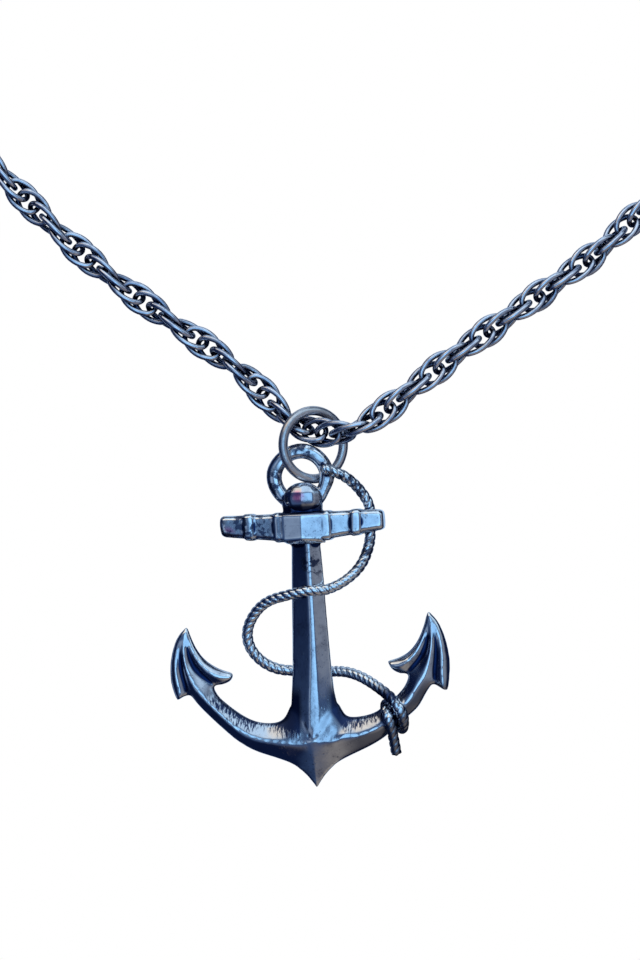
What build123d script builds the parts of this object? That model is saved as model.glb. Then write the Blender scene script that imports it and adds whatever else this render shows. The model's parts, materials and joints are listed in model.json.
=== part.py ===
import os
from math import atan2, cos, degrees, radians, sin, sqrt, tan

from build123d import *

os.makedirs("parts", exist_ok=True)

# Millimetres, Z up. The origin is the nape, where the necklace rests on the neck. X runs to the right
# as seen from the front, Y from the front to the back.

# Where the jump ring hangs: to the right of, in front of and below the nape
ring_offset = 2.0
ring_forward = 116.5
ring_drop = 130.5

# One link of the chain
link_length = 6.5
link_width = 4.4
link_wire = 0.8
link_end_radius = 1.4

# The links' places from the first one, beside the jump ring: the play between each and the next but
# one, and how far each is turned from the last. The first few on the left are slacker
link_start = 263.0
link_lean = 6.0
link_clearance = 0.29
left_turn = 37.0
right_turn = 45.0
slack_links = 9
slack_clearance = 0.42
slack_turn = 40.0
still_links = 32

# The chain's route round the neck from the clasp's left end to its right. Its first and last
# neck_points are measured from the nape, and the others from the jump ring's centre
neck_points = 4
chain_route = [
    (-17.5, -1.2, -0.4),
    (-36.5, -10.0, -3.7),
    (-55.5, -27.0, -11.7),
    (-67.7, -49.0, -23.5),
    (-73.7, 45.0, 92.0),
    (-69.1, 26.0, 74.0),
    (-58.3, 13.5, 55.8),
    (-45.4, 7.5, 39.5),
    (-31.4, 5.2, 26.0),
    (-17.4, 3.4, 15.7),
    (-8.55, 2.43, 8.83),
    (-4.3, 2.07, 4.38),
    (0.35, -0.18, 1.92),
    (4.46, -1.95, 1.96),
    (8.53, -2.97, 3.65),
    (15.0, -2.2, 8.6),
    (26.6, -0.2, 17.3),
    (40.6, 3.6, 27.4),
    (46.5, 5.8, 32.7),
    (60.0, 13.0, 48.3),
    (68.2, 25.7, 67.8),
    (70.2, 45.0, 86.8),
    (67.2, -49.5, -27.2),
    (54.9, -27.5, -13.7),
    (37.5, -11.0, -4.5),
    (17.5, -1.3, -0.5),
]

# Jump ring that carries the anchor
ring_radius = 4.97
ring_wire = 1.38
ring_yaw = 28.0

# Clasp and its two small rings
end_ring_radius = 2.0
end_ring_wire = 0.8
end_ring_reach = 1.7
clasp_length = 12.0
clasp_width = 4.6
clasp_thickness = 1.6
clasp_hole = 1.3
clasp_wall = 0.9
clasp_window = 3.6
clasp_edge = 0.35

# Anchor: eye, knob and collar
anchor_tilt = 2.9
anchor_yaw = 8.0
eye_across = -1.74
eye_forward = 0.6
eye_drop = 4.82
eye_radius = 4.9
eye_hole = 2.7
eye_thickness = 1.4
eye_chamfer = 0.5
knob_radius = 2.55
knob_height = 3.55
knob_drop = 1.0
knob_levels = [(0.0, 0.35), (0.15, 0.68), (0.4, 0.94), (0.6, 1.0), (0.92, 1.0), (1.0, 0.9)]
collar_width = 6.0
collar_foot = 5.4
collar_depth = 3.6
collar_drop = 3.2

# Anchor: stock
stock_length = 23.8
stock_height = 4.15
stock_end_height = 2.85
stock_depth = 3.9
stock_end_depth = 3.2
stock_chamfer = 0.5
stock_cap = 0.45
stock_drop = 5.2
band_width = 1.25
band_raise = 0.22
inner_band_place = 3.45
outer_band_place = 7.9
block_width = 5.6
block_ridge = 0.4

# Anchor: shank, crown, arms and flukes
half_span = 20.65
anchor_drop = 45.25
shank_depth = 4.0
shank_edge = 1.3
arm_depth = 4.2
arm_edge = 1.3
fluke_depth = 2.7
fluke_edge = 0.6
fluke_web = 0.9
shank_stations = [
    ((-0.098, 0.19), (0.098, 0.19), (0.5, 1.0, 1.0)),
    ((-0.119, 0.393), (0.119, 0.393), (0.5, 1.0, 1.0)),
    ((-0.137, 0.597), (0.137, 0.597), (0.5, 1.0, 1.0)),
    ((-0.155, 0.72), (0.155, 0.72), (0.5, 1.0, 1.0)),
    ((-0.165, 0.853), (0.165, 0.853), (0.5, 1.0, 1.0)),
]

# Anchor: rope, with its route as shares of the half span, the drop and half the shank's depth
rope_wire = 1.45
rope_bend = 0.45
rope_route = [
    (0.178, -0.025, 0.5),
    (0.251, -0.0137, 0.35),
    (0.321, 0.0042, 0.15),
    (0.396, 0.038, -0.1),
    (0.455, 0.0813, -0.3),
    (0.473, 0.106, -0.4),
    (0.471, 0.1914, -0.42),
    (0.459, 0.2331, -0.3),
    (0.403, 0.2915, 0.2),
    (0.283, 0.3421, 0.8),
    (0.152, 0.3649, 1.1),
    (0.017, 0.3618, 1.3),
    (-0.113, 0.3717, 1.1),
    (-0.308, 0.3929, 0.5),
    (-0.43, 0.4579, 0.0),
    (-0.444, 0.5222, -0.25),
    (-0.386, 0.575, -0.5),
    (-0.275, 0.6099, -0.8),
    (-0.127, 0.623, -1.1),
    (0.001, 0.6261, -1.25),
    (0.136, 0.629, -1.1),
    (0.25, 0.6316, -0.6),
    (0.377, 0.6539, 0.0),
    (0.521, 0.7006, 0.8),
    (0.601, 0.7359, 1.3),
    (0.641, 0.7735, 1.3),
    (0.65, 0.811, 0.9),
    (0.627, 0.8338, 0.0),
    (0.588, 0.8038, -1.1),
    (0.536, 0.7576, -0.75),
    (0.523, 0.741, 0.0),
    (0.535, 0.7673, 1.1),
    (0.559, 0.8031, 1.3),
    (0.572, 0.8486, 0.8),
    (0.577, 0.9039, 0.3),
]

# The anchor hangs from the centre of its eye, tilted to its right, with its depth towards the viewer
ring_centre = Vector(ring_offset, -ring_forward, -ring_drop)
hang = Plane(ring_centre + Vector(eye_across, -eye_forward, -eye_drop), x_dir=(1, 0, 0), z_dir=(0, -1, 0))
hang = hang.rotated((0, -anchor_tilt, -anchor_yaw))


def at(across, down, out=0.0):
    """a point of the anchor from its distances across, below and in front of the eye's centre"""
    return hang.from_local_coords(Vector(across, -down, out))


def spread(across, down, out=0.0):
    """a point from shares of the anchor's half span, drop and half depth"""
    return at(across * half_span, down * anchor_drop, out * shank_depth / 2)


def smooth(points):
    """a curve through points whose parameter rises evenly from each to the next"""
    steps = [i / (len(points) - 1) for i in range(len(points))]
    return Edge.make_spline([Vector(point) for point in points], parameters=steps)


def ridged_section(upper, lower, ridge, depth, edge):
    """a six-sided section between two edges of an outline, with a ridge in front and behind"""
    across = lower - upper
    width = across.length
    plane = Plane(origin=upper, x_dir=across, z_dir=across.cross(hang.z_dir))
    with BuildSketch(plane) as section:
        with BuildLine():
            Polyline(
                (0, edge / 2),
                (width * ridge, depth / 2),
                (width, edge / 2),
                (width, -edge / 2),
                (width * ridge, -depth / 2),
                (0, -edge / 2),
                close=True,
            )
        make_face()
    return section.sketch


def ridged_limb(stations, depth, edge, steps):
    """sections that run smoothly through a limb's stations, a few steps from each to the next; a
    station holds the upper and lower edge of the outline as shares of the span and the drop, then
    the place of the ridge between them and shares of the depth and of the edge's thickness"""
    uppers = smooth([spread(*upper) for upper, lower, form in stations])
    lowers = smooth([spread(*lower) for upper, lower, form in stations])
    forms = [Vector(form) for upper, lower, form in stations]
    count = steps * (len(stations) - 1)
    sections = []
    for i in range(count + 1):
        before = min(i // steps, len(forms) - 2)
        part_way = i / steps - before
        form = forms[before] * (1 - part_way) + forms[before + 1] * part_way
        ends = (uppers @ (i / count), lowers @ (i / count))
        sections.append(ridged_section(*ends, form.X, depth * form.Y, edge * form.Z))
    return sections


# Right arm, from the middle of the crown to the tip of the rib that runs up its fluke
arm_stations = [
    ((0.0, 0.718), (0.0, 1.0), (0.48, 1.0, 0.3)),
    ((0.078, 0.723), (0.052, 0.965), (0.52, 1.0, 0.7)),
    ((0.154, 0.727), (0.11, 0.937), (0.6, 1.0, 1.0)),
    ((0.218, 0.7735), (0.195, 0.9127), (0.565, 0.98, 1.0)),
    ((0.357, 0.78), (0.381, 0.8796), (0.57, 0.95, 1.0)),
    ((0.474, 0.7624), (0.538, 0.84), (0.55, 0.92, 1.0)),
    ((0.597, 0.72), (0.704, 0.771), (0.545, 0.87, 1.0)),
    ((0.69, 0.6586), (0.866, 0.681), (0.6, 0.8, 0.9)),
    ((0.8215, 0.5945), (0.9095, 0.592), (0.5, 0.69, 0.7)),
    ((0.8606, 0.526), (0.919, 0.525), (0.5, 0.55, 0.6)),
    ((0.863, 0.4619), (0.881, 0.4619), (0.5, 0.28, 0.5)),
]
outer_blade_stations = [
    ((0.895, 0.4707), (0.8606, 0.4751), (0.45, 0.41, 1.0)),
    ((0.9658, 0.5193), (0.8949, 0.537), (0.45, 0.7, 1.0)),
    ((1.0, 0.5923), (0.8949, 0.5967), (0.45, 0.89, 1.0)),
    ((0.9976, 0.6519), (0.8802, 0.6475), (0.45, 1.0, 1.0)),
    ((0.9658, 0.7017), (0.9095, 0.6851), (0.5, 0.74, 1.0)),
]
inner_blade_stations = [
    ((0.8557, 0.4707), (0.8802, 0.4773), (0.5, 0.41, 1.0)),
    ((0.8289, 0.5061), (0.868, 0.5282), (0.5, 0.7, 1.0)),
    ((0.7628, 0.5591), (0.8117, 0.5945), (0.45, 0.89, 1.0)),
    ((0.665, 0.5967), (0.7188, 0.6453), (0.45, 1.0, 1.0)),
    ((0.5672, 0.6155), (0.5917, 0.6453), (0.5, 0.74, 1.0)),
]
web_outline = [
    (0.872, 0.468),
    (0.934, 0.527),
    (0.952, 0.594),
    (0.939, 0.69),
    (0.861, 0.683),
    (0.709, 0.652),
    (0.582, 0.63),
    (0.692, 0.621),
    (0.787, 0.577),
    (0.848, 0.517),
]
with BuildPart() as arm:
    loft(ridged_limb(arm_stations, arm_depth, arm_edge, 3), ruled=True)
    loft(ridged_limb(outer_blade_stations, fluke_depth, fluke_edge, 3), ruled=True)
    loft(ridged_limb(inner_blade_stations, fluke_depth, fluke_edge, 3), ruled=True)
    with BuildSketch(hang.offset(-fluke_web / 2)):
        with BuildLine():
            corners = [(across * half_span, -down * anchor_drop) for across, down in web_outline]
            Polyline(*corners, close=True)
        make_face()
    extrude(amount=fluke_web)


def stock_section(across, raised=0.0):
    """a section of the stock, with its straight top edge and its bottom rising to the ends"""
    share = abs(across) / (stock_length / 2)
    height = stock_height + (stock_end_height - stock_height) * share
    depth = stock_depth + (stock_end_depth - stock_depth) * share
    middle = at(across, stock_drop + height / 2)
    with BuildSketch(Plane(origin=middle, x_dir=hang.z_dir, z_dir=hang.x_dir)) as section:
        Rectangle(depth + 2 * raised, height + 2 * raised)
        chamfer(section.vertices(), stock_chamfer)
    return section.sketch


# One half of the stock, with its raised bands and capped end
with BuildPart() as half_stock:
    body_end = stock_length / 2 - stock_cap
    loft([stock_section(0), stock_section(body_end)])
    loft([stock_section(body_end), stock_section(stock_length / 2, -stock_cap / 2)])
    for place in (inner_band_place, outer_band_place):
        near = stock_section(place - band_width / 2, band_raise)
        loft([near, stock_section(place + band_width / 2, band_raise)])

# Rope, from the eye round the stock's end, the shank and the right arm, where it is knotted
with BuildPart() as rope:
    with BuildLine() as rope_line:
        rope_points = [spread(*point) for point in rope_route]
        rope_radii = []
        for before, corner, after in zip(rope_points, rope_points[1:], rope_points[2:]):
            turn = radians((corner - before).get_angle(after - corner))
            run = min((corner - before).length, (after - corner).length)
            rope_radii.append(rope_bend * run / tan(turn / 2))
        FilletPolyline(*rope_points, radius=rope_radii)
    with BuildSketch(Plane(origin=rope_line.line @ 0, z_dir=rope_line.line % 0)):
        Circle(rope_wire / 2)
    sweep()
    with Locations(rope_line.line @ 0, rope_line.line @ 1):
        Sphere(rope_wire / 2)

# Anchor, one casting
with BuildPart() as anchor:
    with BuildSketch(hang.offset(-eye_thickness / 2)):
        Circle(eye_radius)
        Circle(eye_hole, mode=Mode.SUBTRACT)
    extrude(amount=eye_thickness)
    chamfer(anchor.edges().filter_by(GeomType.CIRCLE), eye_chamfer)

    # Collar between the eye and the stock
    for down, wide in ((collar_drop, collar_width), (stock_drop + stock_chamfer, collar_foot)):
        with BuildSketch(Plane(origin=at(0, down), x_dir=hang.x_dir, z_dir=hang.y_dir)) as level:
            Rectangle(wide, collar_depth)
            chamfer(level.vertices(), collar_depth / 4)
    loft()

    # Faceted knob in front of and behind the eye
    for down, share in knob_levels:
        middle = at(0, knob_drop + down * knob_height)
        with BuildSketch(Plane(origin=middle, x_dir=hang.x_dir, z_dir=hang.y_dir)):
            RegularPolygon(knob_radius * share, 8, rotation=22.5)
    loft(ruled=True)

    # Stock, with a ridged block in the middle
    add(half_stock.part)
    mirror(half_stock.part, about=Plane(origin=hang.origin, z_dir=hang.x_dir))
    block_side = stock_depth / 2 + band_raise
    block_front = block_side + block_ridge
    with BuildSketch(Plane(origin=at(0, stock_drop - band_raise), x_dir=hang.x_dir, z_dir=-hang.y_dir)):
        with BuildLine():
            Polyline(
                (-block_width / 2, block_side),
                (0, block_front),
                (block_width / 2, block_side),
                (block_width / 2, -block_side),
                (0, -block_front),
                (-block_width / 2, -block_side),
                close=True,
            )
        make_face()
    extrude(amount=stock_height + 2 * band_raise)

    loft(ridged_limb(shank_stations, shank_depth, shank_edge, 2), ruled=True)
    add(arm.part)
    mirror(arm.part, about=Plane(origin=hang.origin, z_dir=hang.x_dir))
    add(rope.part)
anchor.part.label = "anchor"
export_step(anchor.part, "parts/anchor.step")

# Jump ring
with BuildPart() as jump_ring:
    yaw = radians(ring_yaw)
    with Locations(Plane(origin=ring_centre, z_dir=(-sin(yaw), cos(yaw), 0)).location):
        Torus(ring_radius, ring_wire / 2)
jump_ring.part.label = "jump_ring"
export_step(jump_ring.part, "parts/jump_ring.step")

# One link of the chain, an oval of four arcs with its length along X and its width along Y
with BuildPart() as link:
    end_reach = (link_length - link_wire) / 2
    side_reach = (link_width - link_wire) / 2
    inset = end_reach - link_end_radius
    side_radius = (inset**2 + side_reach**2 - link_end_radius**2) / (2 * (side_reach - link_end_radius))
    meet = atan2(side_radius - side_reach, inset)
    join = Vector(inset + link_end_radius * cos(meet), link_end_radius * sin(meet))
    with BuildLine() as oval:
        for side in (1, -1):
            ThreePointArc((join.X * side, join.Y), (end_reach * side, 0), (join.X * side, -join.Y))
            ThreePointArc((-join.X, join.Y * side), (0, side_reach * side), (join.X, join.Y * side))
    with BuildSketch(Plane(origin=(0, side_reach, 0), z_dir=(1, 0, 0))):
        Circle(link_wire / 2)
    sweep(path=oval.wire())

# Places of the links along the route: each a step further along it and a part turn further round it
hole_place = clasp_length / 2 - clasp_wall - clasp_hole
nape_end = Vector(hole_place, clasp_thickness / 2, 0)
route_points = [nape_end - Vector(2 * hole_place, 0, 0)]
for i, point in enumerate(chain_route):
    beside_nape = i < neck_points or i >= len(chain_route) - neck_points
    route_points.append(Vector(point) if beside_nape else ring_centre + Vector(point))
route_points.append(nape_end)
route_steps = [0.0]
for before, after in zip(route_points, route_points[1:]):
    route_steps.append(route_steps[-1] + sqrt((after - before).length))
route = Edge.make_spline(route_points, parameters=[step / route_steps[-1] for step in route_steps])


def along(distance):
    """the point at a distance along the chain's route"""
    return route.position_at(distance, position_mode=PositionMode.LENGTH)


link_pitch = (link_length - 2 * link_wire - link_clearance) / 2
slack_pitch = (link_length - 2 * link_wire - slack_clearance) / 2
clasp_reach = end_ring_reach + 2 * end_ring_radius


def links_towards(side, room, slack, link_turn):
    """planes of the links from the first one towards one end of the route, the last one upright"""
    count = slack + round((room - slack * slack_pitch) / link_pitch)
    even_pitch = (room - slack * slack_pitch) / (count - slack)
    up = Vector(0, 0, 1)
    places = []
    for k in range(count + 1):
        near = min(k, slack)
        here = link_start + side * (near * slack_pitch + (k - near) * even_pitch)
        tangent = (along(here + link_wire) - along(here - link_wire)).normalized()
        up = (up - tangent * up.dot(tangent)).normalized()
        turn = link_lean + side * (near * slack_turn + (k - near) * link_turn)
        places.append((along(here), tangent, up, turn))
    centre, tangent, up, turn = places[-1]
    last = up.rotate(Axis((0, 0, 0), tangent), turn)
    spare = degrees(atan2(tangent.dot(last.cross(Vector(0, 0, 1))), last.Z))
    spare = spare - 180 * round(spare / 180)
    planes = []
    for k, (centre, tangent, up, turn) in enumerate(places):
        turn += spare * max(0, k - still_links) / (count - still_links)
        wide = up.rotate(Axis((0, 0, 0), tangent), turn)
        planes.append(Plane(origin=centre, x_dir=tangent, z_dir=tangent.cross(wide)))
    return planes


left_links = links_towards(-1, link_start - clasp_reach, slack_links, left_turn)
right_links = links_towards(1, route.length - clasp_reach - link_start, 0, right_turn)

with BuildPart() as chain:
    with Locations(*[plane.location for plane in left_links[:0:-1] + right_links]):
        add(link.part)
chain.part.label = "chain"
export_step(chain.part, "parts/chain.step")

# Small rings between the chain's last links and the clasp
for name, plane, side in (("end_ring_left", left_links[-1], -1), ("end_ring_right", right_links[-1], 1)):
    hook = plane.origin + plane.x_dir * side * end_ring_reach
    hole = Vector(side * hole_place, nape_end.Y, 0)
    with BuildPart() as end_ring:
        with Locations(Plane(origin=(hook + hole) / 2, z_dir=plane.y_dir).location):
            Torus(end_ring_radius, end_ring_wire / 2)
    end_ring.part.label = name
    export_step(end_ring.part, f"parts/{name}.step")

# Clasp, a plain piece with a hole at one end and a window at the other
with BuildPart() as clasp:
    with BuildSketch(Plane(origin=(0, 0, 0), x_dir=(1, 0, 0), z_dir=(0, 1, 0))):
        SlotOverall(clasp_length, clasp_width)
        with Locations((-hole_place, 0)):
            Circle(clasp_hole, mode=Mode.SUBTRACT)
        with Locations((hole_place + clasp_hole - clasp_window / 2, 0)):
            SlotOverall(clasp_window, 2 * clasp_hole, mode=Mode.SUBTRACT)
    extrude(amount=clasp_thickness)
    fillet(clasp.edges().filter_by(Axis.Y, reverse=True), clasp_edge)
clasp.part.label = "clasp"
export_step(clasp.part, "parts/clasp.step")
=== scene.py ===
import json
from math import cos, pi, radians, sin

import bpy
import numpy
from mathutils import Matrix, Vector
from mathutils.kdtree import KDTree

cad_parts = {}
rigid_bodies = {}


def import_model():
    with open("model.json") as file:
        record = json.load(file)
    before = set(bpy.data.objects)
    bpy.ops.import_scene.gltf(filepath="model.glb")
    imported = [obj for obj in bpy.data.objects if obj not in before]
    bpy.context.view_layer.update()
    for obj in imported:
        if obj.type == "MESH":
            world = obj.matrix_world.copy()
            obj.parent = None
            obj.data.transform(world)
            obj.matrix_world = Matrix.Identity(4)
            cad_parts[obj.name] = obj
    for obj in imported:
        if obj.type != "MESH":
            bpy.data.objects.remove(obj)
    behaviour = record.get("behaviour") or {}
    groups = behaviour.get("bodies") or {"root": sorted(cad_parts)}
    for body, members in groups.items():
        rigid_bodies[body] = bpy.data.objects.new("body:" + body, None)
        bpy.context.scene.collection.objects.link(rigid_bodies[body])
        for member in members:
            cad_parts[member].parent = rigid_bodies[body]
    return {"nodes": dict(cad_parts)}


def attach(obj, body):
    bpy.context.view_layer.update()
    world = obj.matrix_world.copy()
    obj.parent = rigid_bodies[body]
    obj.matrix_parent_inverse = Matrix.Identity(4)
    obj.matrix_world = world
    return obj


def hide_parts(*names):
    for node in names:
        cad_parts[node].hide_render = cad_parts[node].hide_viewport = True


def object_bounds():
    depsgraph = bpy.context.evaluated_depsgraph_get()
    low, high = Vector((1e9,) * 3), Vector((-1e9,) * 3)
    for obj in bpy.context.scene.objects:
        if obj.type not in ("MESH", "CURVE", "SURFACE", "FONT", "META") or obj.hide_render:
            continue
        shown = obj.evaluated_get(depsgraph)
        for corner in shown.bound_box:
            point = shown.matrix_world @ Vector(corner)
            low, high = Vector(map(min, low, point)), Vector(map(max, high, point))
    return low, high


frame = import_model()
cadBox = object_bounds()
nodes = frame["nodes"]
print("frame loaded")

perMetre = 1000  # millimetres: the anchor's own plane is measured in them

# How the anchor hangs, in metres and degrees: the centre of its eye, and how it is tilted and turned
hanging = {
    "eye": (0.00026, -0.1171, -0.13532),
    "tilt": 2.9,
    "turn": 8.0,
    "halfSpan": 0.02065,
    "drop": 0.04525,
    "halfDepth": 0.002,
}
upright = Matrix(((1, 0, 0, 0), (0, 0, -1, 0), (0, 1, 0, 0), (0, 0, 0, 1)))  # stands the plane up
leaning = Matrix.Rotation(radians(-hanging["tilt"]), 4, "Y")
turned = Matrix.Rotation(radians(-hanging["turn"]), 4, "Z")
anchorPlace = Matrix.Translation(hanging["eye"]) @ leaning @ turned @ upright


def onAnchor(across, down, out=0.0):
    # a point of the anchor from shares of its half span, its drop and its half depth
    flat = Vector((across * hanging["halfSpan"], -down * hanging["drop"], out * hanging["halfDepth"]))
    return anchorPlace @ flat


def clearSelection():
    for thing in bpy.context.selected_objects:
        thing.select_set(False)


def pickOnly(thing):
    clearSelection()
    thing.select_set(True)
    bpy.context.view_layer.objects.active = thing


def applyModifier(thing, kind, **settings):
    # adds one modifier, sets it and applies it
    pickOnly(thing)
    bpy.ops.object.modifier_add(type=kind)
    modifier = thing.modifiers[-1]
    for setting, value in settings.items():
        setattr(modifier, setting, value)
    bpy.ops.object.modifier_apply(modifier=modifier.name)


mixSockets = {"share": 0, "under": 6, "over": 7, "result": 2}  # of a mix node that mixes colours


class Nodes:
    # a node tree, with short calls for the nodes that the finishes and the sky share

    def __init__(self, tree):
        self.tree = tree

    def add(self, kind, **settings):
        node = self.tree.nodes.new(kind)
        for setting, value in settings.items():
            setattr(node, setting, value)
        return node

    def feed(self, socket, value):
        if isinstance(value, bpy.types.NodeSocket):
            self.tree.links.new(value, socket)
        else:
            socket.default_value = value

    def sums(self, operation, first, second=0.0, third=0.0):
        node = self.add("ShaderNodeMath", operation=operation)
        for socket, value in zip(node.inputs, (first, second, third)):
            self.feed(socket, value)
        return node.outputs[0]

    def ramp(self, value, low, high, toLow=0.0, toHigh=1.0):
        node = self.add("ShaderNodeMapRange", interpolation_type="SMOOTHSTEP")
        for socket, amount in zip(node.inputs, (value, low, high, toLow, toHigh)):
            self.feed(socket, amount)
        return node.outputs[0]

    def blend(self, share, under, over):
        node = self.add("ShaderNodeMix", data_type="RGBA")
        self.feed(node.inputs[mixSockets["share"]], share)
        self.feed(node.inputs[mixSockets["under"]], under)
        self.feed(node.inputs[mixSockets["over"]], over)
        return node.outputs[mixSockets["result"]]

    def within(self, value, half, soft):
        # 1 where a value is small, 0 beyond the soft edge
        return self.ramp(value, half + soft, half - soft)

    def most(self, first, *others):
        for other in others:
            first = self.sums("MAXIMUM", first, other)
        return first

    def both(self, first, *others):
        for other in others:
            first = self.sums("MULTIPLY", first, other)
        return first


class Recipe(Nodes):
    # a material in the making

    def __init__(self, name):
        self.material = bpy.data.materials.new(name)
        self.material.use_nodes = True
        super().__init__(self.material.node_tree)
        self.shader = self.tree.nodes["Principled BSDF"]
        self.place = self.add("ShaderNodeTexCoord").outputs["Object"]

    def local(self, stretch=(1.0, 1.0, 1.0)):
        # millimetres in the anchor's own plane: across, up and out from the eye's centre
        node = self.add("ShaderNodeMapping", vector_type="TEXTURE")
        self.feed(node.inputs["Vector"], self.place)
        node.inputs["Location"].default_value = hanging["eye"]
        node.inputs["Rotation"].default_value = anchorPlace.to_euler()
        node.inputs["Scale"].default_value = [share / perMetre for share in stretch]
        return node.outputs[0]

    def noise(self, vector, size, detail=3.0, rough=0.5):
        node = self.add("ShaderNodeTexNoise")
        self.feed(node.inputs["Vector"], vector)
        node.inputs["Scale"].default_value = 1.0 / size
        node.inputs["Detail"].default_value = detail
        node.inputs["Roughness"].default_value = rough
        return node.outputs["Fac"]

    def cells(self, vector, size):
        node = self.add("ShaderNodeTexVoronoi")
        self.feed(node.inputs["Vector"], vector)
        node.inputs["Scale"].default_value = 1.0 / size
        return node.outputs["Distance"]

    def distance(self, vector, centre):
        node = self.add("ShaderNodeVectorMath", operation="DISTANCE")
        self.feed(node.inputs[0], vector)
        node.inputs[1].default_value = centre
        return node.outputs["Value"]

    def spot(self, vector, centre, radius, soft):
        # a round patch about a place: 1 inside it, 0 beyond its soft edge
        return self.within(self.distance(vector, centre), radius, soft)

    def patches(self, vector, places, soft):
        # the places given as a centre and a radius, taken together
        return self.most(0.0, *(self.spot(vector, centre, radius, soft) for centre, radius in places))

    def paintedShade(self, vector):
        # painted shade on the arms' inner and lower faces and on the collar under the knob, its edge
        # broken by strokes
        split = self.add("ShaderNodeSeparateXYZ")
        self.feed(split.inputs[0], vector)
        across, up = split.outputs[0], split.outputs[1]
        aside = self.sums("ABSOLUTE", across)
        reach = self.distance(self.local(shadeAndSoot["flat"]), shadeAndSoot["armCentre"])
        reach = self.sums("ADD", reach, self.ramp(aside, *shadeAndSoot["outerArms"]))
        strokes = self.noise(self.local(shadeAndSoot["strokeStretch"]), *shadeAndSoot["strokeGrain"])
        away = self.sums("ADD", reach, self.ramp(strokes, *shadeAndSoot["strokes"]))
        away = self.sums("MULTIPLY_ADD", self.spot(vector, *shadeAndSoot["ivory"]), shadeAndSoot["ivoryShift"], away)
        shankEdge = self.sums("MULTIPLY_ADD", up, *shadeAndSoot["footEdge"])
        fromShank = self.sums("SUBTRACT", across, self.most(shankEdge, shadeAndSoot["shankHalf"]))
        beside = self.ramp(fromShank, *shadeAndSoot["rightOfFoot"])
        beside = self.most(beside, self.ramp(across, *shadeAndSoot["leftOfFoot"]))
        inner = self.both(self.ramp(away, *shadeAndSoot["innerSlope"]), beside)
        under = self.both(self.ramp(reach, *shadeAndSoot["underside"]), self.ramp(across, *shadeAndSoot["rightArm"]))
        arms = self.both(self.most(inner, under), self.ramp(up, *shadeAndSoot["belowShank"]))
        collar = self.both(self.ramp(up, *shadeAndSoot["collarTop"]), self.ramp(up, *shadeAndSoot["collarFoot"]))
        return self.most(arms, self.both(collar, self.ramp(aside, *shadeAndSoot["collarSides"])))

    def crevices(self, reach, low, high):
        # painted shade where close neighbours shut the light out
        node = self.add("ShaderNodeAmbientOcclusion", samples=wireFinish["both"]["samples"])
        node.inputs["Distance"].default_value = reach
        return self.ramp(node.outputs["AO"], high, low)

    def bump(self, height, depth, strength=1.0):
        node = self.add("ShaderNodeBump")
        node.inputs["Strength"].default_value = strength
        node.inputs["Distance"].default_value = depth
        self.feed(node.inputs["Height"], height)
        return node.outputs[0]


# Painted shade on the arms' inner and lower faces and on the collar under the knob, in millimetres of
# the anchor's own plane. A row of two gives where it starts and where it is full, a row of four the
# shares at those two places as well.
shadeAndSoot = {
    "armCentre": (-0.5, -20.0, 0.0),  # the arms' ridge runs on a circle round it
    "flat": (1.0, 1.0, 1000.0),  # leaves the depth out of the distance from there
    "outerArms": (7.0, 10.0, 0.0, -0.6),  # further out the circle is wider
    "strokeStretch": (0.22, 1.0, 1.0),
    "strokeGrain": (0.9, 3.0, 0.6),  # size, detail and roughness
    "strokes": (0.3, 0.7, -0.9, 0.9),  # how far the strokes run over the edge
    "ivory": ((-6.6, -36.6, 1.4), 1.8, 1.0),  # a bare place: centre, radius, soft edge
    "ivoryShift": 0.9,
    "innerSlope": (18.3, 17.2),
    "footEdge": (-0.69, -21.46),  # the shank's right edge near its foot: slope and start
    "shankHalf": 2.2,
    "rightOfFoot": (-0.3, 0.9, 0.0, 0.97),
    "leftOfFoot": (-1.1, -2.0, 0.0, 0.97),
    "underside": (19.1, 19.6),
    "rightArm": (3.0, 7.0, 0.0, 0.65),
    "belowShank": (-29.5, -32.0),
    "collarTop": (-3.7, -4.3, 0.0, 0.95),
    "collarFoot": (-5.55, -5.25),
    "collarSides": (3.6, 3.2),
}

# The casting's finish, with sizes and places in millimetres of the anchor's own plane
castFinish = {
    "bright": (0.64, 0.68, 0.76, 1.0),
    "worn": (0.90, 0.93, 0.97, 1.0),
    "patinaAndShade": (0.009, 0.024, 0.090, 1.0),
    "blotch": (0.36, 0.38, 0.46, 1.0),
    "reflectedPink": (0.95, 0.18, 0.42, 1.0),
    "reflectedPinkShare": 0.8,
    "smooth": 0.11,
    "dull": 0.32,
    # grain: size, detail and roughness
    "broadGrain": (3.2, 3.0, 0.55),
    "middleGrain": (0.9, 4.0, 0.6),
    "fineGrain": (0.32, 4.0, 0.65),
    "pitSize": 0.48,
    # places: centre and radius
    "pitted": (
        ((-3.2, -1.0, 1.0), 2.6),
        ((-8.0, -7.6, 2.0), 3.4),
        ((0.6, 4.2, 1.2), 1.8),
        ((-14.5, -7.4, 2.0), 3.6),
        ((1.4, -12.4, 1.6), 1.9),
        ((7.2, -0.5, 0.3), 3.4),
        ((8.6, -12.0, -1.0), 3.2),
    ),
    "pittedSoft": 1.0,
    # painted pink reflections, on the knob and on the stock's left: centre and radius
    "paintedPinkReflection": (((-0.35, -2.7, 2.7), 0.8), ((-11.0, -7.6, 2.0), 0.9)),
    "paintedPinkReflectionSoft": 0.5,
    # where each comes in and where it is full, then the shares there if they aren't 0 and 1
    "hollow": (0.47, 0.35),
    "edge": (0.58, 0.78),
    "stain": (0.47, 0.56),
    "stainShare": (0.0, 1.0, 0.08, 0.9),
    "pit": (0.34, 0.18),
    "pitCluster": (0.52, 0.60),
    "pitShare": (0.0, 1.0, 0.35, 1.0),
    "grime": (0.54, 0.64),
    "grimeShare": (0.50, 0.62, 0.0, 0.5),
    "blotches": (0.48, 0.66, 0.0, 0.45),
    "dullness": (0.45, 0.75, 0.0, 0.5),
    # relief: the shares of the grain in its height, its depth in metres, and its strength
    "fineRelief": 0.18,
    "middleRelief": 0.5,
    "reliefDepth": 0.00004,
    "reliefStrength": 0.45,
}


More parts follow.
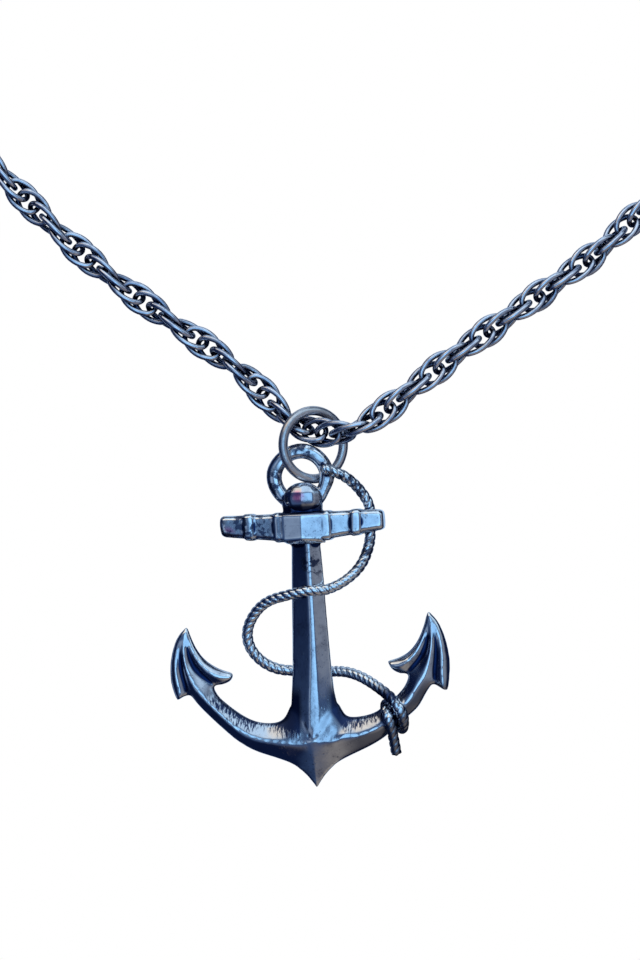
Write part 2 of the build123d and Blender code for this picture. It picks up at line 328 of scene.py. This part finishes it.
def castMetal():
    # antiqued casting: polished where it is rubbed, navy patina in its hollows, pitted and blotched in
    # places, with painted shade on the arms and the collar and painted pink reflections on the knob and
    # the stock
    recipe = Recipe("antiqued casting")
    look = castFinish
    place = recipe.local()
    wear = recipe.add("ShaderNodeVertexColor", layer_name="wear").outputs["Color"]
    broad = recipe.noise(place, *look["broadGrain"])
    middle = recipe.noise(place, *look["middleGrain"])
    fine = recipe.noise(place, *look["fineGrain"])
    pitted = recipe.patches(place, look["pitted"], look["pittedSoft"])
    paintedPinkReflection = recipe.patches(place, look["paintedPinkReflection"], look["paintedPinkReflectionSoft"])

    hollow = recipe.ramp(wear, *look["hollow"])
    stained = recipe.both(recipe.ramp(middle, *look["stain"]), recipe.ramp(pitted, *look["stainShare"]))
    pits = recipe.both(
        recipe.ramp(recipe.cells(place, look["pitSize"]), *look["pit"]),
        recipe.ramp(middle, *look["pitCluster"]),
        recipe.ramp(pitted, *look["pitShare"]),
    )
    grime = recipe.both(recipe.ramp(fine, *look["grime"]), recipe.ramp(broad, *look["grimeShare"]))
    # navy patina in the hollows, pits, grime and stains, together with painted shade on the arms and the
    # collar
    dark = recipe.most(hollow, pits, grime, stained, recipe.paintedShade(place))

    colour = recipe.blend(recipe.ramp(broad, *look["blotches"]), look["bright"], look["blotch"])
    # painted pink reflections on the knob and the stock
    colour = recipe.blend(recipe.both(paintedPinkReflection, look["reflectedPinkShare"]), colour, look["reflectedPink"])
    colour = recipe.blend(recipe.ramp(wear, *look["edge"]), colour, look["worn"])
    # one navy for the patina and for the painted shade
    colour = recipe.blend(dark, colour, look["patinaAndShade"])
    recipe.feed(recipe.shader.inputs["Base Color"], colour)
    recipe.shader.inputs["Metallic"].default_value = 1.0

    uneven = recipe.most(dark, recipe.ramp(middle, *look["dullness"]))
    rough = recipe.ramp(uneven, 0.0, 1.0, look["smooth"], look["dull"])
    recipe.feed(recipe.shader.inputs["Roughness"], rough)

    height = recipe.sums("SUBTRACT", recipe.both(fine, look["fineRelief"]), pits)
    height = recipe.sums("ADD", height, recipe.both(middle, look["middleRelief"]))
    relief = recipe.bump(height, look["reliefDepth"], look["reliefStrength"])
    recipe.feed(recipe.shader.inputs["Normal"], relief)
    return recipe.material


# The wire's finishes, in metres. Grain is size, detail and roughness; crevice is how far off a neighbour
# counts, and openness the values between which its painted shade fades.
wireFinish = {
    "both": {
        "broadGrain": (0.0030, 3.0, 0.6),
        "fineGrain": (0.0005, 4.0, 0.6),
        "tarnishGrain": (0.0042, 2.0),
        "tarnish": (0.46, 0.36, 0.30, 1.0),
        "darker": (0.45, 0.70, 0.0, 0.8),
        "tarnished": (0.60, 0.72, 0.0, 0.3),
        "specks": (0.62, 0.70, 0.0, 0.4),
        "gloss": (0.3, 0.7),
        "samples": 6,
        "reliefDepth": 0.00003,
        "reliefStrength": 0.3,
    },
    "ring": {
        "bright": (0.86, 0.82, 0.82, 1.0),
        "dark": (0.55, 0.54, 0.58, 1.0),
        "shadeAndSoot": (0.05, 0.07, 0.14, 1.0),
        "smooth": 0.28,
        "dull": 0.38,
        "crevice": 0.0012,
        "openness": (0.20, 0.60),
    },
    "chain": {
        "bright": (0.84, 0.84, 0.92, 1.0),
        "dark": (0.30, 0.34, 0.48, 1.0),
        "shadeAndSoot": (0.012, 0.024, 0.075, 1.0),
        "smooth": 0.17,
        "dull": 0.30,
        "crevice": 0.0022,
        "openness": (0.47, 0.91),
    },
}


def wireMetal(name, finish):
    # drawn wire in a gunmetal finish, with painted shade where its neighbours crowd it, sooty specks and
    # warm tarnish in places
    recipe = Recipe(name)
    look = {**wireFinish["both"], **finish}
    place = recipe.place
    broad = recipe.noise(place, *look["broadGrain"])
    fine = recipe.noise(place, *look["fineGrain"])
    tarnished = recipe.ramp(recipe.noise(place, *look["tarnishGrain"]), *look["tarnished"])
    crowded = recipe.crevices(look["crevice"], *look["openness"])
    # sooty specks, and painted shade in the crevices between wires
    specksAndShade = recipe.most(recipe.ramp(fine, *look["specks"]), crowded)
    colour = recipe.blend(recipe.ramp(broad, *look["darker"]), look["bright"], look["dark"])
    colour = recipe.blend(tarnished, colour, look["tarnish"])
    colour = recipe.blend(specksAndShade, colour, look["shadeAndSoot"])
    recipe.feed(recipe.shader.inputs["Base Color"], colour)
    recipe.shader.inputs["Metallic"].default_value = 1.0
    rough = recipe.ramp(fine, *look["gloss"], look["smooth"], look["dull"])
    recipe.feed(recipe.shader.inputs["Roughness"], rough)
    relief = recipe.bump(fine, look["reliefDepth"], look["reliefStrength"])
    recipe.feed(recipe.shader.inputs["Normal"], relief)
    return recipe.material


castMaterial = castMetal()
ringMaterial = wireMetal("gunmetal ring wire", wireFinish["ring"])
chainMaterial = wireMetal("gunmetal chain wire", wireFinish["chain"])
for name, material in (
    ("chain", chainMaterial),
    ("jump_ring", ringMaterial),
    ("end_ring_left", ringMaterial),
    ("end_ring_right", ringMaterial),
    ("clasp", ringMaterial),
    ("anchor", castMaterial),
):
    for slot in nodes[name].material_slots:
        slot.material = material
print("materials made")

# The rope: three twisted strands laid over the cast tube, in metres. Lay is the length of a full twist.
rope = {
    "radius": 0.00080,
    "groove": 0.00013,
    "strands": 3,
    "lay": 0.0031,
    "sides": 24,
    "steps": 24,
    "sharpness": 1.6,
    "weld": 0.000005,
    "core": 0.00055,
    "reach": 0.00085,
    "fade": 0.0001,
}
# Its line: across, down and out, as shares of the anchor's half span, drop and half depth
ropeRoute = [
    (0.178, -0.025, 0.5),
    (0.251, -0.0137, 0.35),
    (0.321, 0.0042, 0.15),
    (0.396, 0.038, -0.1),
    (0.455, 0.0813, -0.3),
    (0.473, 0.106, -0.4),
    (0.471, 0.1914, -0.42),
    (0.459, 0.2331, -0.3),
    (0.403, 0.2915, 0.2),
    (0.283, 0.3421, 0.8),
    (0.152, 0.3649, 1.1),
    (0.017, 0.3618, 1.3),
    (-0.113, 0.3717, 1.1),
    (-0.308, 0.3929, 0.5),
    (-0.43, 0.4579, 0.0),
    (-0.444, 0.5222, -0.25),
    (-0.386, 0.575, -0.5),
    (-0.275, 0.6099, -0.8),
    (-0.127, 0.623, -1.1),
    (0.001, 0.6261, -1.25),
    (0.136, 0.629, -1.1),
    (0.25, 0.6316, -0.6),
    (0.377, 0.6539, 0.0),
    (0.521, 0.7006, 0.8),
    (0.601, 0.7359, 1.3),
    (0.641, 0.7735, 1.3),
    (0.65, 0.811, 0.9),
    (0.627, 0.8338, 0.0),
    (0.588, 0.8038, -1.1),
    (0.536, 0.7576, -0.75),
    (0.523, 0.741, 0.0),
    (0.535, 0.7673, 1.1),
    (0.559, 0.8031, 1.3),
    (0.572, 0.8486, 0.8),
    (0.577, 0.9039, 0.3),
]


def lobedProfile():
    # the outline of the strands seen end on, as a closed curve for the rope's bevel
    curve = bpy.data.curves.new("ropeProfile", "CURVE")
    curve.dimensions = "2D"
    spline = curve.splines.new("POLY")
    spline.points.add(rope["sides"] - 1)
    for i, point in enumerate(spline.points):
        angle = 2 * pi * i / rope["sides"]
        lobe = abs(sin(angle * rope["strands"] / 2))
        reach = rope["radius"] - rope["groove"] * (1 - lobe) ** rope["sharpness"]
        point.co = (reach * cos(angle), reach * sin(angle), 0, 1)
    spline.use_cyclic_u = True
    profile = bpy.data.objects.new("ropeProfile", curve)
    bpy.context.scene.collection.objects.link(profile)
    return profile


def ropeCurve():
    # the rope's line as a smooth spline, twisted steadily along its length
    curve = bpy.data.curves.new("ropeLine", "CURVE")
    curve.dimensions = "3D"
    spline = curve.splines.new("NURBS")
    spline.points.add(len(ropeRoute) - 1)
    before = None
    run = 0.0
    for point, share in zip(spline.points, ropeRoute):
        here = onAnchor(*share)
        run += (here - before).length if before else 0.0
        before = here
        point.co = (*here, 1)
        point.tilt = 2 * pi * run / rope["lay"]
    spline.order_u = 3
    spline.use_endpoint_u = True
    curve.resolution_u = rope["steps"]
    line = bpy.data.objects.new("ropeLine", curve)
    bpy.context.scene.collection.objects.link(line)
    return line


def buildRope():
    # the strands as a mesh, and the points along their middle
    line = ropeCurve()
    bpy.context.view_layer.update()
    bare = bpy.data.meshes.new_from_object(line)
    centres = [vertex.co.copy() for vertex in bare.vertices]
    profile = lobedProfile()
    line.data.bevel_mode = "OBJECT"
    line.data.bevel_object = profile
    line.data.use_fill_caps = True
    pickOnly(line)
    bpy.ops.object.convert(target="MESH")
    strands = bpy.context.object
    strands.name = "rope_strands"
    bpy.ops.object.mode_set(mode="EDIT")
    bpy.ops.mesh.select_all(action="SELECT")
    bpy.ops.mesh.remove_doubles(threshold=rope["weld"])
    bpy.ops.mesh.normals_make_consistent(inside=False)
    bpy.ops.object.mode_set(mode="OBJECT")
    bpy.ops.object.shade_smooth()
    bpy.data.objects.remove(profile)
    return strands, centres


ropeStrands, ropeCentres = buildRope()
print("rope twisted:", len(ropeStrands.data.polygons), "faces")

# The casting: the solid with softened edges and the uneven places of the real one. Weld and voxel are
# in metres, the rest in millimetres of the anchor's own plane. A pair gives where something begins and
# where it is full or over. Flukes and arms are smoothed in more passes, and the right arm is lifted by
# an angle. Each nudge is a place, how far round it reaches, and its move to the side and up.
casting = {
    "weld": 0.000001,
    "voxel": 0.00018,
    "soften": 0.5,
    "passes": 5,
    "flukePasses": 22,
    "armPasses": 44,
    "flukeAcross": (10.5, 12.5),
    "flukeDown": 15.0,
    "armsBegin": (33.0, 35.5),
    "armsEnd": (41.0, 42.5),
    "crownEdge": (0.7, 1.4),  # how near the middle the arms' smoothing comes
    "crownPoint": 0.45,  # and how much nearer at the crown's point
    "crownPointDown": (35.5, 37.0),
    "armLift": 1.4,
    "liftAcross": (1.0, 9.0),
    "liftDown": (14.0, 20.0),
    "liftPivot": 39.0,
    "shankShift": 0.14,
    "shankHalf": 3.6,
    "shankBegin": (9.0, 10.0),
    "shankEnd": (28.0, 36.0),
    "stockTaller": 0.06,
    "stockMiddle": 7.3,
    "stockAcross": (2.8, 3.8),
    "stockBegin": (4.6, 5.2),
    "stockEnd": (9.6, 10.2),
    "stockHalfDepth": 3.0,
    "nudges": (
        (17.7, -20.5, 1.5, 0.05, 0.30),
        (19.4, -31.2, 1.1, 0.10, -0.85),
        (11.6, -27.9, 1.5, -0.25, 0.40),
        (13.4, -30.8, 1.3, 0.45, -0.20),
        (15.0, -34.4, 1.5, 0.40, -0.15),
        (-11.6, -28.6, 1.1, 0.45, -0.05),
        (-13.6, -30.9, 1.2, -0.35, -0.30),
        (-7.5, -38.0, 3.0, 0.0, -0.14),
        (3.9, -34.0, 1.4, 0.45, 0.05),
        (6.2, -36.0, 1.6, 0.0, 0.20),
        (-2.4, -37.9, 1.2, 0.0, -0.50),
        (3.0, -37.8, 0.9, 0.0, -0.45),
        (4.7, -38.3, 1.0, 0.0, 0.45),
        (0.0, -38.6, 0.8, 0.0, 0.30),
        (-5.6, -38.5, 1.2, 0.0, 0.20),
        (-4.7, 1.2, 2.2, -0.28, 0.0),
        (0.5, 4.9, 2.2, 0.0, 0.14),
        (4.3, -2.4, 1.1, -0.35, 0.0),
        (-12.2, -6.4, 1.4, -0.28, 0.1),
        (-18.2, -26.5, 3.2, -0.25, 0.0),
        (-15.8, -20.8, 1.3, 0.0, 0.15),
        (-10.2, -23.4, 2.0, -0.16, 0.0),
        (-6.1, -28.8, 2.0, 0.0, -0.10),
        (8.9, -10.0, 2.0, -0.14, 0.0),
        (12.4, -5.0, 1.0, -0.1, -0.15),
    ),
}


def pointsOf(mesh):
    flat = numpy.empty(len(mesh.vertices) * 3)
    mesh.vertices.foreach_get("co", flat)
    return flat.reshape(-1, 3)


def putPoints(mesh, points):
    mesh.vertices.foreach_set("co", points.ravel())
    mesh.update()


def toPlane(points):
    # millimetres across, up and out from the eye's centre
    turn = numpy.array(anchorPlace.to_3x3())
    return (points - numpy.array(anchorPlace.translation)) @ turn * perMetre


def fromPlane(points):
    turn = numpy.array(anchorPlace.to_3x3())
    return (points / perMetre) @ turn.T + numpy.array(anchorPlace.translation)


def rise(value, low, high):
    # a smooth step from 0 at low to 1 at high
    share = numpy.clip((value - low) / (high - low), 0, 1)
    return share * share * (3 - 2 * share)


def between(value, begin, end):
    # 1 between two soft ends
    return rise(value, *begin) * (1 - rise(value, *end))


def settle(points):
    # the uneven places of the real casting: small moves about a place, a lifted arm, a taller stock
    x, y, z = points.T.copy()
    moveX = numpy.zeros_like(x)
    moveY = numpy.zeros_like(y)
    for across, up, reach, aside, above in casting["nudges"]:
        share = numpy.exp(-((x - across) ** 2 + (y - up) ** 2) / (2 * reach * reach))
        moveX += aside * share
        moveY += above * share
    turn = rise(x, *casting["liftAcross"]) * rise(-y, *casting["liftDown"]) * radians(casting["armLift"])
    abovePivot = y + casting["liftPivot"]
    moveX += x * (numpy.cos(turn) - 1) - abovePivot * numpy.sin(turn)
    moveY += x * numpy.sin(turn) + abovePivot * (numpy.cos(turn) - 1)
    onShank = between(-y, casting["shankBegin"], casting["shankEnd"])
    moveX += casting["shankShift"] * onShank * (numpy.abs(x) < casting["shankHalf"])
    onStock = rise(numpy.abs(x), *casting["stockAcross"]) * (numpy.abs(z) < casting["stockHalfDepth"])
    onStock = onStock * between(-y, casting["stockBegin"], casting["stockEnd"])
    moveY += casting["stockTaller"] * (y + casting["stockMiddle"]) * onStock
    return numpy.stack((x + moveX, y + moveY, z), axis=1)


# The eye's ring: the radius of its middle, its half widths towards the hole and the rim, how far out
# it reaches, where its neck begins, and the share of its depth that its edges keep
eyeRing = {
    "middle": 3.6,
    "toHole": 1.15,
    "toRim": 1.45,
    "reach": 5.3,
    "neck": (1.6, 3.0),
    "keptDepth": 0.3,
}


def roundEye(points):
    # the eye's ring is rounded towards its rims
    x, y, z = points.T.copy()
    reach = numpy.hypot(x, y)
    near = (reach < eyeRing["reach"]) * (1 - rise(-y, *eyeRing["neck"]))
    fromMiddle = reach - eyeRing["middle"]
    aside = fromMiddle / numpy.where(fromMiddle > 0, eyeRing["toRim"], eyeRing["toHole"])
    arch = numpy.sqrt(numpy.clip(1 - aside * aside, 0, 1))
    thinner = (1 - eyeRing["keptDepth"]) * (1 - arch)
    return numpy.stack((x, y, z * (1 - near * thinner)), axis=1)


# The shank's ridge: its height, how much of that its flat takes and how far it leans, at the top and at
# the crown, and where all this holds
ridge = {
    "height": 2.0,
    "flat": 0.16,
    "flatAtCrown": 0.26,
    "lean": 0.30,
    "leanAtCrown": 0.12,
    "towardsCrown": (20.0, 36.0),
    "half": 3.4,
    "begin": (9.0, 9.6),
    "end": (36.0, 38.4),
}


def flattenRidge(points):
    # the shank's ridge leans to the right and ends in a narrow flat that widens towards the crown
    x, y, z = points.T.copy()
    near = (numpy.abs(x) < ridge["half"]) * between(-y, ridge["begin"], ridge["end"])
    lower = rise(-y, *ridge["towardsCrown"])
    flat = ridge["flat"] + (ridge["flatAtCrown"] - ridge["flat"]) * lower
    lean = ridge["lean"] + (ridge["leanAtCrown"] - ridge["lean"]) * lower
    most = ridge["height"] - flat
    z = numpy.where(near > 0, z + (numpy.clip(z, -most, most) - z) * near, z)
    x = x + lean * numpy.maximum(z, 0) * near
    return numpy.stack((x, y, z), axis=1)


# The solid's plain knob, which stands inside the faceted one: where it lies, the half depth that it
# keeps, and how much narrower its faces get
plainKnob = {
    "half": 2.9,
    "begin": (0.7, 1.1),
    "end": (5.0, 5.2),
    "faces": (1.2, 1.7),
    "keptDepth": 1.85,
    "narrower": 0.2,
}


def shrinkKnob(points):
    # the plain knob is drawn in under its dome
    x, y, z = points.T.copy()
    near = (numpy.abs(x) < plainKnob["half"]) * between(-y, plainKnob["begin"], plainKnob["end"])
    outside = near * rise(numpy.abs(z), *plainKnob["faces"])
    z = z + (numpy.clip(z, -plainKnob["keptDepth"], plainKnob["keptDepth"]) - z) * near
    return numpy.stack((x * (1 - plainKnob["narrower"] * outside), y, z), axis=1)


def evenOut(mesh, points, passes, share):
    # moves each point part of the way to the middle of its neighbours
    edges = numpy.empty(len(mesh.edges) * 2, dtype=numpy.int64)
    mesh.edges.foreach_get("vertices", edges)
    first, second = edges.reshape(-1, 2).T
    count = numpy.bincount(edges, minlength=len(points))
    for _ in range(passes):
        total = numpy.zeros_like(points)
        for axis in range(3):
            total[:, axis] = numpy.bincount(first, points[second, axis], len(points))
            total[:, axis] += numpy.bincount(second, points[first, axis], len(points))
        points = points + (total / count[:, None] - points) * share
    return points


def drawIn(points):
    # the rope's cast tube is drawn in, so that the strands cover it
    tree = KDTree(len(ropeCentres))
    for i, centre in enumerate(ropeCentres):
        tree.insert(centre, i)
    tree.balance()
    for i, point in enumerate(points):
        centre, _, gap = tree.find(point)
        if rope["core"] < gap < rope["reach"]:
            share = min(1.0, (rope["reach"] - gap) / rope["fade"])
            drawn = centre + (Vector(point) - centre) * rope["core"] / gap
            points[i] = Vector(point).lerp(drawn, share)
    return points


def dropStray(thing):
    # keeps the faces that hang together with the lowest point and deletes the rest
    pickOnly(thing)
    bpy.ops.object.mode_set(mode="EDIT")
    bpy.ops.mesh.select_all(action="DESELECT")
    bpy.ops.object.mode_set(mode="OBJECT")
    lowest = int(pointsOf(thing.data)[:, 2].argmin())
    thing.data.vertices[lowest].select = True
    bpy.ops.object.mode_set(mode="EDIT")
    bpy.ops.mesh.select_linked()
    bpy.ops.mesh.select_all(action="INVERT")
    bpy.ops.mesh.delete(type="VERT")
    bpy.ops.object.mode_set(mode="OBJECT")


def buildCasting():
    # the solid on a fine even mesh, reshaped, and smoothed most on the arms
    mesh = nodes["anchor"].data.copy()
    body = bpy.data.objects.new("anchor_casting", mesh)
    bpy.context.scene.collection.objects.link(body)
    pickOnly(body)
    bpy.ops.object.mode_set(mode="EDIT")
    bpy.ops.mesh.select_all(action="SELECT")
    bpy.ops.mesh.remove_doubles(threshold=casting["weld"])
    bpy.ops.object.mode_set(mode="OBJECT")
    applyModifier(body, "REMESH", mode="VOXEL", voxel_size=casting["voxel"])
    dropStray(body)
    applyModifier(body, "SHRINKWRAP", target=nodes["anchor"], wrap_method="NEAREST_SURFACEPOINT")
    points = drawIn(pointsOf(body.data))
    points = shrinkKnob(flattenRidge(roundEye(toPlane(points))))
    points = evenOut(body.data, points, casting["passes"], casting["soften"])
    smoother = evenOut(body.data, points, casting["flukePasses"], casting["soften"])
    morePasses = casting["armPasses"] - casting["flukePasses"]
    smoothest = evenOut(body.data, smoother, morePasses, casting["soften"])
    across, down = numpy.abs(points[:, :2]).T
    onFluke = rise(across, *casting["flukeAcross"]) * (down > casting["flukeDown"])
    nearer = casting["crownPoint"] * rise(down, *casting["crownPointDown"])
    onArms = rise(across + nearer, *casting["crownEdge"])
    onArms = onArms * between(down, casting["armsBegin"], casting["armsEnd"])
    points = points + (smoothest - points) * onArms[:, None] * (1 - onFluke[:, None])
    points = points + (smoother - points) * onFluke[:, None]
    putPoints(body.data, fromPlane(settle(points)))
    pickOnly(body)
    bpy.ops.object.shade_smooth()
    return body


# The faceted knobs: place and half sizes in millimetres of the anchor's own plane, the width of their
# rounded edges and the voxel in metres, and the back one's share, smaller so that it clears the ring
knob = {
    "across": 0.22,
    "up": -2.95,
    "out": 0.8,
    "halfSize": (3.0, 1.95, 2.35),
    "facets": 10,
    "tiers": 8,
    "edge": 0.0004,
    "edgeSteps": 3,
    "edgeAngle": 8,
    "voxel": 0.00013,
    "passes": 5,
    "backShare": 0.84,
}


def buildKnob(name, side, share):
    # a faceted dome with rounded edges on the anchor's front or back; a smaller one sits lower
    halfSize = [share * half for half in knob["halfSize"]]
    up = knob["up"] - (1 - share) * knob["halfSize"][2]
    middle = Vector((knob["across"], up, side * knob["out"])) / perMetre
    clearSelection()
    bpy.ops.mesh.primitive_uv_sphere_add(
        segments=knob["facets"],
        ring_count=knob["tiers"],
        radius=1 / perMetre,
    )
    dome = bpy.context.object
    dome.name = name
    upwards = Matrix.Rotation(radians(-90), 4, "X")
    sized = Matrix.Diagonal((*halfSize, 1))
    dome.matrix_world = anchorPlace @ Matrix.Translation(middle) @ upwards @ sized
    bpy.ops.object.transform_apply(location=True, rotation=True, scale=True)
    applyModifier(
        dome,
        "BEVEL",
        width=knob["edge"],
        segments=knob["edgeSteps"],
        limit_method="ANGLE",
        angle_limit=radians(knob["edgeAngle"]),
    )
    applyModifier(dome, "REMESH", mode="VOXEL", voxel_size=knob["voxel"])
    putPoints(dome.data, evenOut(dome.data, pointsOf(dome.data), knob["passes"], casting["soften"]))
    pickOnly(dome)
    bpy.ops.object.shade_smooth()
    return dome


# How wear is read from a shape: smoothing passes, and the depth in millimetres that counts in full
wearOf = {"casting": (18, 0.10), "strands": (8, 0.0145)}


def paintWear(thing, passes, reach):
    # a map of hollows (towards 0) and rubbed edges (towards 1), kept as a colour on the mesh
    mesh = thing.data
    points = pointsOf(mesh) * perMetre
    outward = numpy.empty(len(points) * 3)
    mesh.vertex_normals.foreach_get("vector", outward)
    smoothed = evenOut(mesh, points, passes, casting["soften"])
    sunk = ((smoothed - points) * outward.reshape(-1, 3)).sum(axis=1)
    colours = numpy.ones((len(points), 4))
    colours[:, :3] = numpy.clip(0.5 - sunk / (2 * reach), 0, 1)[:, None]
    layer = mesh.color_attributes.new(name="wear", type="FLOAT_COLOR", domain="POINT")
    layer.data.foreach_set("color", colours.ravel())


anchorCasting = buildCasting()
print("anchor cast:", len(anchorCasting.data.polygons), "faces")
knobFront = buildKnob("knob_front", 1, 1.0)
knobBack = buildKnob("knob_back", -1, knob["backShare"])
print("knobs made")
putPoints(ropeStrands.data, fromPlane(settle(toPlane(pointsOf(ropeStrands.data)))))
for piece, kind in (
    (anchorCasting, "casting"),
    (knobFront, "casting"),
    (knobBack, "casting"),
    (ropeStrands, "strands"),
):
    putPoints(piece.data, numpy.clip(pointsOf(piece.data), *cadBox))  # stays in the solids' box
    paintWear(piece, *wearOf[kind])
    piece.data.materials.clear()
    piece.data.materials.append(castMaterial)
    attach(piece, "anchor")
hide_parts("anchor")
print("wear painted")

# The floor, below the anchor and out of the metal's reflections
floorLook = {
    "middle": (0.0, -0.1, -0.24),
    "radius": 0.32,
    "sides": 96,
    "colour": (0.92, 0.92, 0.93, 1.0),
    "rough": 0.9,
}
clearSelection()
bpy.ops.mesh.primitive_circle_add(
    vertices=floorLook["sides"],
    radius=floorLook["radius"],
    fill_type="NGON",
    location=floorLook["middle"],
)
floor = bpy.context.object
floor.name = "floor"
bpy.ops.object.transform_apply(location=True, rotation=False, scale=False)
floor.visible_glossy = False
paleFloor = Recipe("pale floor")
paleFloor.shader.inputs["Base Color"].default_value = floorLook["colour"]
paleFloor.shader.inputs["Roughness"].default_value = floorLook["rough"]
floor.data.materials.append(paleFloor.material)

# Soft boxes round the object: azimuth from the camera's side, elevation, half sizes, soft edge, colour
softBoxes = [
    (0.0, 8.0, 58.0, 46.0, 14.0, (0.055, 0.10, 0.21)),
    (0.0, 64.0, 60.0, 30.0, 9.0, (0.70, 0.92, 1.12)),
    (180.0, 64.0, 50.0, 22.0, 10.0, (0.45, 0.60, 0.80)),
    (-44.0, 47.0, 25.0, 12.0, 6.0, (1.08, 0.98, 0.84)),
    (2.0, 4.0, 19.5, 22.0, 3.0, (0.46, 0.86, 1.30)),
    (-32.0, 0.0, 8.0, 14.0, 5.0, (0.27, 0.36, 0.50)),
    (54.0, 4.0, 18.0, 34.0, 8.0, (0.25, 0.28, 0.34)),
    (60.0, 38.0, 16.0, 12.0, 7.0, (0.50, 0.72, 0.92)),
    (-122.0, 10.0, 7.0, 40.0, 5.0, (0.20, 0.28, 0.46)),
    (45.0, -55.0, 60.0, 20.0, 18.0, (0.30, 0.27, 0.25)),
    (180.0, 2.0, 26.0, 26.0, 8.0, (0.42, 0.62, 0.90)),
]
roomDark = (0.005, 0.011, 0.042)


def studioLight():
    # the metal reflects a dark room with soft boxes; the camera sees plain white behind it
    world = bpy.data.worlds.new("studio")
    bpy.context.scene.world = world
    world.use_nodes = True
    world.node_tree.nodes.clear()
    sky = Nodes(world.node_tree)
    split = sky.add("ShaderNodeSeparateXYZ")
    sky.feed(split.inputs[0], sky.add("ShaderNodeTexCoord").outputs["Generated"])
    across, away, up = split.outputs
    azimuth = sky.both(sky.sums("ARCTAN2", across, sky.both(away, -1.0)), 180 / pi)
    elevation = sky.both(sky.sums("ARCSINE", up), 180 / pi)
    colour = (*roomDark, 1)
    for turn, lift, halfTurn, halfLift, soft, tint in softBoxes:
        aside = sky.sums("PINGPONG", sky.sums("SUBTRACT", azimuth, turn), 180.0)
        above = sky.sums("ABSOLUTE", sky.sums("SUBTRACT", elevation, lift))
        share = sky.both(sky.within(aside, halfTurn, soft), sky.within(above, halfLift, soft))
        colour = sky.blend(share, colour, (*tint, 1))
    lit = sky.add("ShaderNodeBackground")
    sky.feed(lit.inputs[0], colour)
    plain = sky.add("ShaderNodeBackground")
    plain.inputs[0].default_value = (1, 1, 1, 1)
    choose = sky.add("ShaderNodeMixShader")
    sky.feed(choose.inputs[0], sky.add("ShaderNodeLightPath").outputs["Is Camera Ray"])
    sky.feed(choose.inputs[1], lit.outputs[0])
    sky.feed(choose.inputs[2], plain.outputs[0])
    sky.feed(sky.add("ShaderNodeOutputWorld").inputs[0], choose.outputs[0])


studioLight()

# A soft lamp over the floor, kept out of the metal's reflections
lamp = {"place": (0.0, -0.1, 0.5), "size": 0.7, "power": 7.0, "colour": (1.0, 0.96, 0.90)}
clearSelection()
bpy.ops.object.light_add(type="AREA", location=lamp["place"])
softLamp = bpy.context.object
softLamp.data.size = lamp["size"]
softLamp.data.energy = lamp["power"]
softLamp.data.color = lamp["colour"]
softLamp.visible_glossy = False

# The camera: level, its distance taken from the ring, and how tall a piece it sees there
cameraView = {
    "across": 0.00298,
    "height": -0.13564,
    "ringDepth": -0.1165,
    "distance": 0.7,
    "tall": 0.140,
    "sensor": 36,
    "nearest": 0.01,
}
clearSelection()
bpy.ops.object.camera_add(
    location=(
        cameraView["across"],
        cameraView["ringDepth"] - cameraView["distance"],
        cameraView["height"],
    ),
    rotation=(pi / 2, 0, 0),
)
camera = bpy.context.object
camera.data.sensor_fit = "VERTICAL"
camera.data.sensor_height = cameraView["sensor"]
camera.data.lens = cameraView["sensor"] * cameraView["distance"] / cameraView["tall"]
camera.data.clip_start = cameraView["nearest"]
bpy.context.scene.camera = camera
bpy.context.scene.view_settings.view_transform = "Standard"
print("floor, light and camera set")
